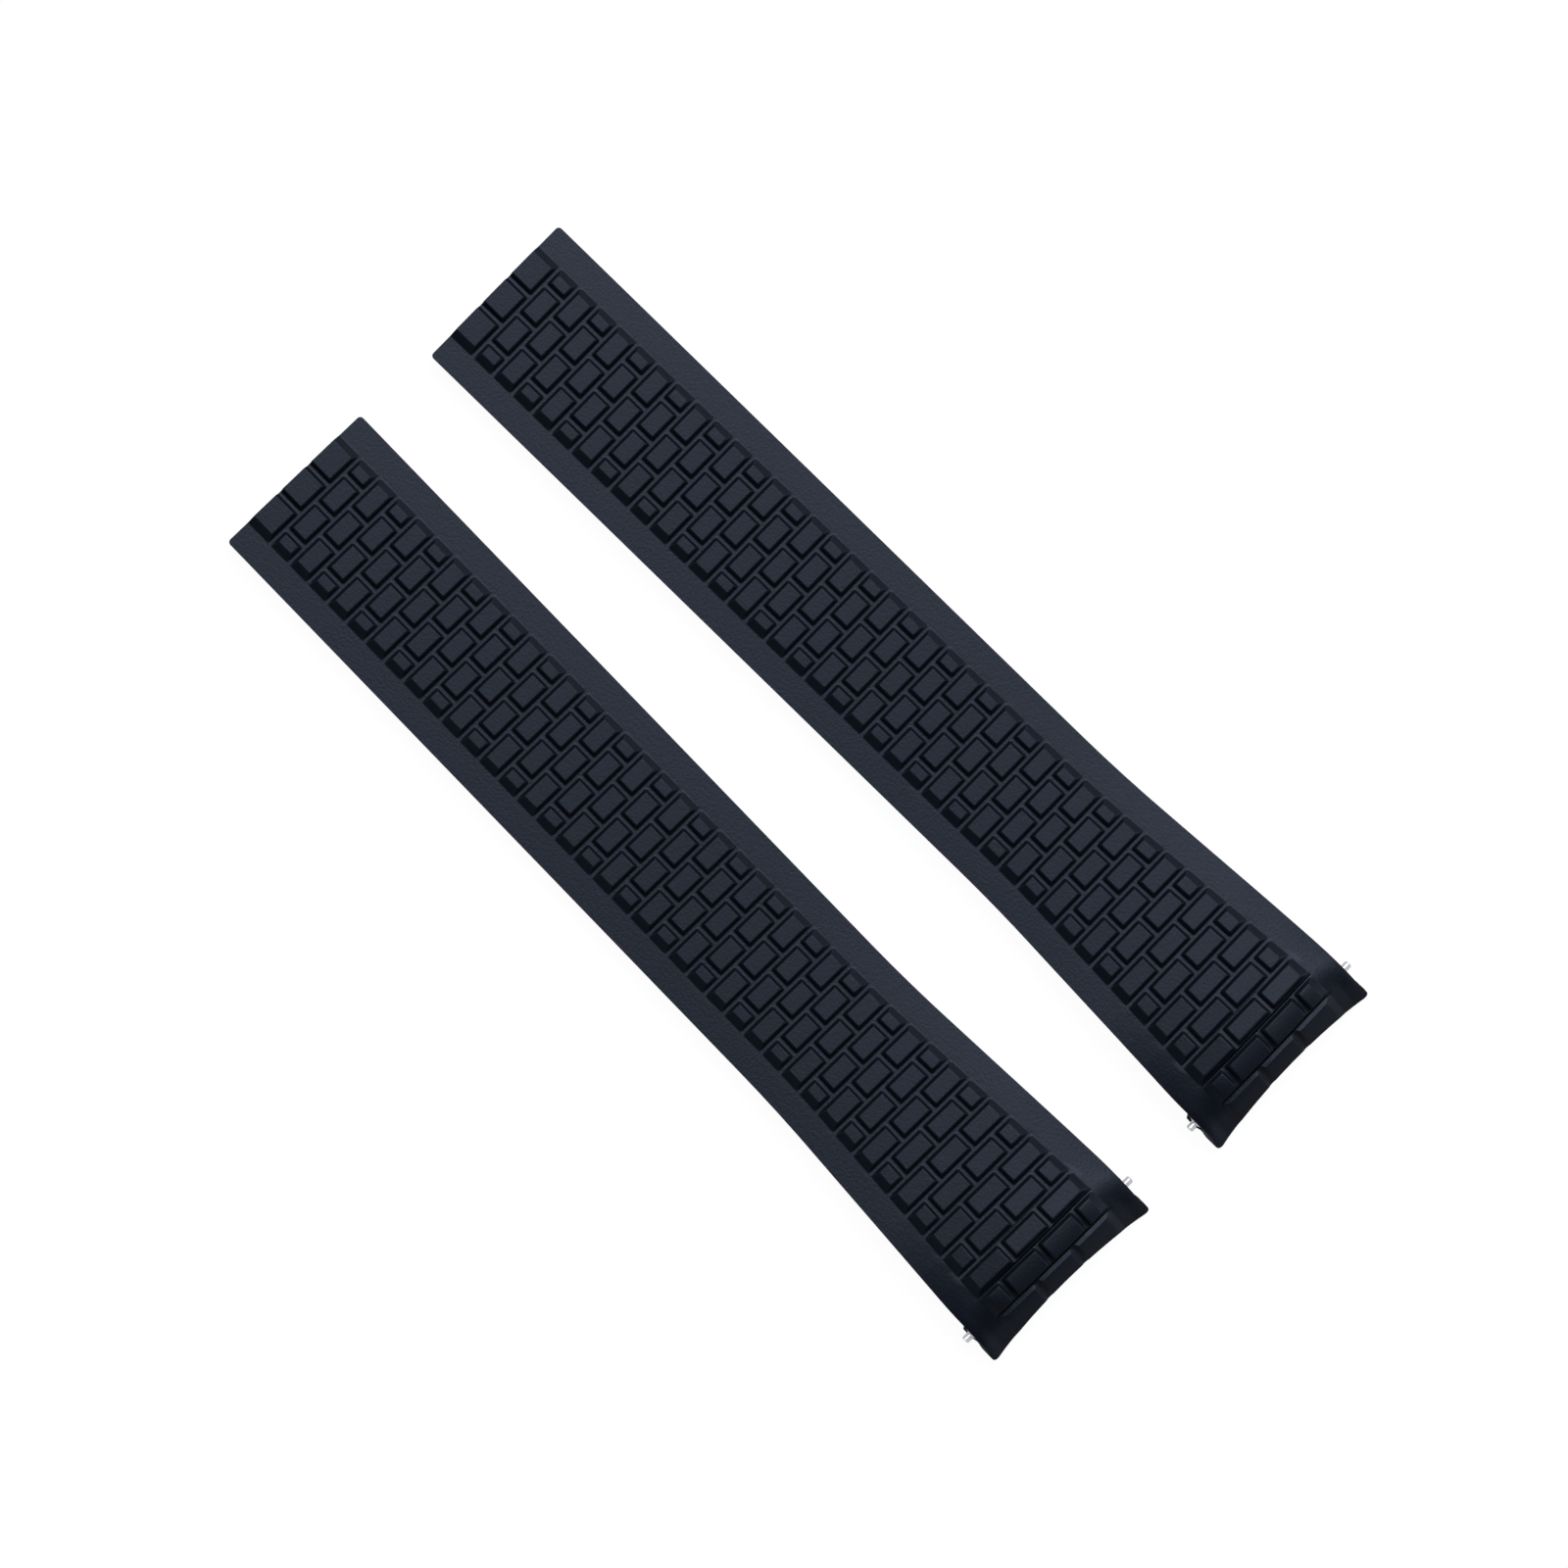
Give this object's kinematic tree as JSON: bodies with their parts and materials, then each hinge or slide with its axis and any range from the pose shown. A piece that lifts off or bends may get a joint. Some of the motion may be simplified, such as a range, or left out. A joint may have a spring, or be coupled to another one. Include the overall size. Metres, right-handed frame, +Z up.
{
  "type": "silicone watch strap",
  "caption": "Watch strap of dark silicone with curved case ends, a raised running-bond relief, spring bars in steel sleeves, and tunnels and cutting guides at the clasp ends.",
  "frame": {"origin": "middle of the footprint of the pair, on the table under it", "axes": "+X from the clasp ends to the case ends, +Y from half a to half b, +Z up out of the relief"},
  "size_m": [0.1109, 0.053, 0.0053],
  "materials": {
    "silicone": "matte, slightly silky moulded silicone, blue-black",
    "steel": "fine-turned stainless steel"
  },
  "bodies": {
    "half_a": {"strap_half_a": "silicone", "lug_sleeve_a": "steel"},
    "spring_bar_a": {"spring_bar_tube_a": "steel", "spring_bar_coil_a": "steel"},
    "outer_tip_a": {"spring_bar_outer_tip_a": "steel"},
    "inner_tip_a": {"spring_bar_inner_tip_a": "steel"},
    "half_b": {"strap_half_b": "silicone", "lug_sleeve_b": "steel"},
    "spring_bar_b": {"spring_bar_tube_b": "steel", "spring_bar_coil_b": "steel"},
    "outer_tip_b": {"spring_bar_outer_tip_b": "steel"},
    "inner_tip_b": {"spring_bar_inner_tip_b": "steel"}
  },
  "joints": [
    {"name": "spring_bar_a_turn", "type": "hinge", "parent": "half_a", "child": "spring_bar_a", "pos_m": [0.05095, -0.01511, 0.00185], "axis": [0.0152, 0.9999, 0], "continuous": true},
    {"name": "outer_tip_a_press", "type": "slide", "parent": "spring_bar_a", "child": "outer_tip_a", "axis": [0.0152, 0.9999, 0], "range_m": [0, 0.0008], "stiffness_N_per_m": 1000, "springref_m": -0.003, "deforming": ["spring_bar_coil_a"]},
    {"name": "inner_tip_a_press", "type": "slide", "parent": "spring_bar_a", "child": "inner_tip_a", "axis": [-0.0152, -0.9999, 0], "range_m": [0, 0.0008], "stiffness_N_per_m": 1000, "springref_m": -0.003, "deforming": ["spring_bar_coil_a"]},
    {"name": "half_b_lift", "type": "slide", "parent": "half_a", "child": "half_b", "axis": [0, 0, 1], "range_m": [0, 0.05]},
    {"name": "spring_bar_b_turn", "type": "hinge", "parent": "half_b", "child": "spring_bar_b", "pos_m": [0.05162, 0.01511, 0.00185], "axis": [-0.0152, 0.9999, 0], "continuous": true},
    {"name": "outer_tip_b_press", "type": "slide", "parent": "spring_bar_b", "child": "outer_tip_b", "axis": [0.0152, -0.9999, 0], "range_m": [0, 0.0008], "stiffness_N_per_m": 1000, "springref_m": -0.003, "deforming": ["spring_bar_coil_b"]},
    {"name": "inner_tip_b_press", "type": "slide", "parent": "spring_bar_b", "child": "inner_tip_b", "axis": [-0.0152, 0.9999, 0], "range_m": [0, 0.0008], "stiffness_N_per_m": 1000, "springref_m": -0.003, "deforming": ["spring_bar_coil_b"]}
  ]
}
